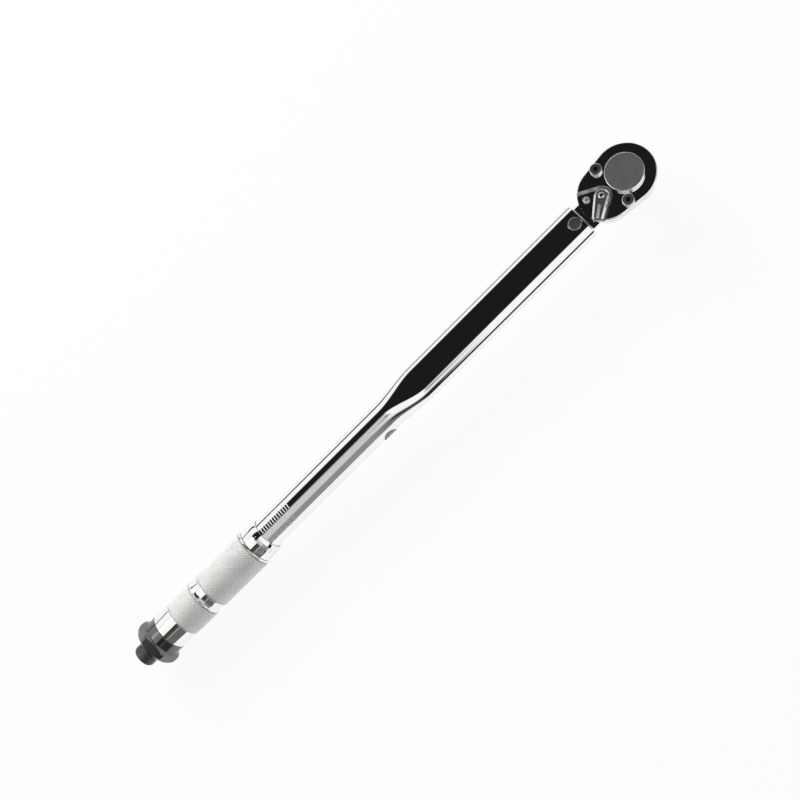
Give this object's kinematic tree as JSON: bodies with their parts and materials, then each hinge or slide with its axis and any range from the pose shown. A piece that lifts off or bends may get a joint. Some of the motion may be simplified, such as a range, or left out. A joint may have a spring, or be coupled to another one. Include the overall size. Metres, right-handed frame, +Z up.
{
  "type": "torque wrench",
  "caption": "Click-type torque wrench: reversible square-drive ratchet head, chromed tube pressed flat at the front, graduated knurled twist grip and end lock knob.",
  "frame": {"origin": "Centre of the square drive's end face.", "axes": "+X runs along the tube from the grip to the head's nose, +Z up away from the square, -Y toward the side with the calibration plug."},
  "size_m": [0.4637, 0.0392, 0.0412],
  "materials": {
    "chrome": "mirror-polished chrome plate",
    "satin_chrome": "satin chrome plate with bright bevels",
    "knurled_chrome": "satin chrome over a fine diamond knurl, polished groove and band",
    "satin_steel": "satin grey steel",
    "bare_steel": "bare machined steel",
    "spring_steel": "oiled spring wire",
    "black_oxide": "blackened knurled steel",
    "dark_nickel": "glossy dark gunmetal plate",
    "brass": "machined brass"
  },
  "bodies": {
    "tube": {"tube_body": "chrome", "pivot_pin": "satin_steel", "side_plug": "satin_steel", "adjusting_nut": "brass", "main_spring": "spring_steel"},
    "head": {"head_body": "chrome", "cover_plate": "chrome", "cover_screw_front": "satin_steel", "cover_screw_rear": "satin_steel", "calibration_screw": "black_oxide", "calibration_nut": "bare_steel", "detent_spring_front": "spring_steel", "detent_spring_rear": "spring_steel"},
    "drive": {"drive_gear": "satin_steel", "drive_ball_spring": "spring_steel"},
    "drive_ball": {"drive_ball": "bare_steel"},
    "lever": {"reversing_lever": "satin_chrome", "lever_shaft": "bare_steel", "pawl_spring": "spring_steel"},
    "pawl_plunger": {"pawl_plunger": "bare_steel"},
    "pawl": {"pawl": "bare_steel"},
    "detent_front": {"lever_detent_front": "bare_steel"},
    "detent_rear": {"lever_detent_rear": "bare_steel"},
    "plunger": {"thrust_plunger": "bare_steel"},
    "tilt_block": {"tilt_block": "bare_steel"},
    "seat": {"spring_seat": "bare_steel", "thrust_ball": "bare_steel"},
    "handle": {"handle_sleeve": "knurled_chrome", "scale_collar": "satin_chrome", "grip_pin": "bare_steel", "end_cap": "dark_nickel", "adjusting_screw": "bare_steel"},
    "lock_pin": {"lock_pin": "bare_steel"},
    "lock_knob": {"lock_knob": "black_oxide"}
  },
  "joints": [
    {"name": "head_click", "type": "hinge", "parent": "tube", "child": "head", "pos_m": [-0.0421, 0, 0.025], "axis": [0, 0, 1], "range_deg": [0, 1.2], "stiffness_Nm_per_rad": 60},
    {"name": "plunger_back", "type": "slide", "parent": "tube", "child": "plunger", "axis": [-1, 0, 0], "range_m": [0, 0.0025], "deforming": ["main_spring"]},
    {"name": "block_tip", "type": "hinge", "parent": "plunger", "child": "tilt_block", "pos_m": [-0.2303, -0.004, 0.025], "axis": [0, 0, -1], "range_deg": [0, 23]},
    {"name": "drive_spin", "type": "hinge", "parent": "head", "child": "drive", "pos_m": [0, 0, 0.025], "axis": [0, 0, 1], "continuous": true},
    {"name": "drive_ball_press", "type": "slide", "parent": "drive", "child": "drive_ball", "axis": [-1, 0, 0], "range_m": [0, 0.0009], "stiffness_N_per_m": 400, "deforming": ["drive_ball_spring"]},
    {"name": "lever_flip", "type": "hinge", "parent": "head", "child": "lever", "pos_m": [-0.0192, 0, 0.025], "axis": [0, 0, -1], "range_deg": [0, 72]},
    {"name": "pawl_rock", "type": "hinge", "parent": "head", "child": "pawl", "pos_m": [-0.0192, 0, 0.025], "axis": [0, 0, -1], "range_deg": [0, 12]},
    {"name": "pawl_plunger_out", "type": "slide", "parent": "lever", "child": "pawl_plunger", "axis": [-0.809, -0.5878, 0], "range_m": [0, 0.0004], "stiffness_N_per_m": 200, "deforming": ["pawl_spring"]},
    {"name": "detent_front_press", "type": "slide", "parent": "head", "child": "detent_front", "axis": [0, 0, -1], "range_m": [0, 0.0006], "stiffness_N_per_m": 300, "deforming": ["detent_spring_front"]},
    {"name": "detent_rear_press", "type": "slide", "parent": "head", "child": "detent_rear", "axis": [0, 0, -1], "range_m": [0, 0.0006], "stiffness_N_per_m": 300, "deforming": ["detent_spring_rear"]},
    {"name": "seat_slide", "type": "slide", "parent": "tube", "child": "seat", "axis": [1, 0, 0], "range_m": [0, 0.028], "deforming": ["main_spring"]},
    {"name": "handle_turn", "type": "hinge", "parent": "seat", "child": "handle", "pos_m": [-0.3402, 0, 0.025], "axis": [1, 0, 0], "range_deg": [0, 5040]},
    {"name": "lock_slide", "type": "slide", "parent": "handle", "child": "lock_pin", "axis": [-1, 0, 0], "range_m": [0, 0.0019]},
    {"name": "lock_turn", "type": "hinge", "parent": "lock_pin", "child": "lock_knob", "pos_m": [-0.4348, 0, 0.025], "axis": [-1, 0, 0], "range_deg": [0, 540]}
  ],
  "couplings": [
    {"joint": "plunger_back", "follows": "head_click", "m_per_rad": 0.1193},
    {"joint": "block_tip", "follows": "head_click", "ratio": 19.1},
    {"joint": "pawl_rock", "follows": "lever_flip", "ratio": 0.16667},
    {"joint": "handle_turn", "follows": "seat_slide", "rad_per_m": 3141.6},
    {"joint": "lock_turn", "follows": "lock_slide", "rad_per_m": 4960.4}
  ]
}
